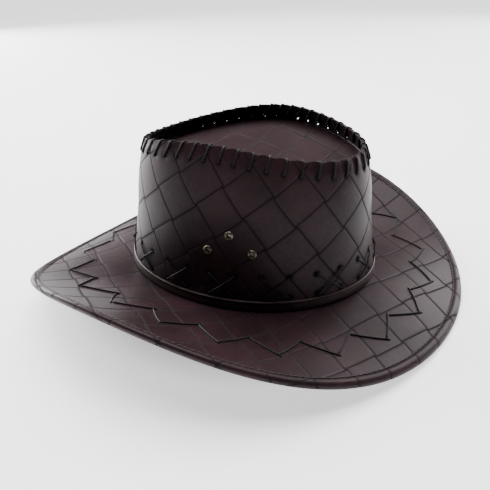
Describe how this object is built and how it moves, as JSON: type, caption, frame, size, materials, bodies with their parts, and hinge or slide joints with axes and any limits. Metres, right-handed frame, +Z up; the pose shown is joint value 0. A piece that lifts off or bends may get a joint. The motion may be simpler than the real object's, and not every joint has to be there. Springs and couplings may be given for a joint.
{
  "type": "western hat",
  "caption": "Brown leathercloth western hat: open whip-laced crown with sunken tip, laced and vented sides, upswept wired brim with zigzag lacing, head oval below.",
  "frame": {"origin": "on the table, under the middle of the brim's outline", "axes": "+Z up out of the crown, front of the hat towards -Y, the wearer's left towards +X"},
  "size_m": [0.354, 0.337, 0.1328],
  "materials": {
    "embossed_leathercloth": "satin",
    "plain_leathercloth": "satin",
    "lining_cloth": "matte",
    "sweatband_cloth": "matte",
    "black_lace": "satin",
    "sewing_thread": "matte",
    "antique_brass": "satin",
    "plated_steel": "satin",
    "brim_board": "matte"
  },
  "bodies": {
    "root": {"crown_wall": "embossed_leathercloth", "crown_wall_lining": "lining_cloth", "crown_tip": "embossed_leathercloth", "crown_tip_lining": "lining_cloth", "crown_seam_tape": "lining_cloth", "rim_lace": "black_lace", "crown_cross_lace": "black_lace", "hat_band": "plain_leathercloth", "vent_eyelets": "antique_brass", "vent_washers": "plated_steel", "brim_top_ply": "embossed_leathercloth", "brim_stiffener": "brim_board", "brim_bottom_ply": "embossed_leathercloth", "brim_wire": "plated_steel", "brim_binding": "embossed_leathercloth", "binding_stitching": "sewing_thread", "brim_lace": "black_lace", "sweatband": "sweatband_cloth", "sweatband_stitching": "sewing_thread"}
  },
  "joints": []
}
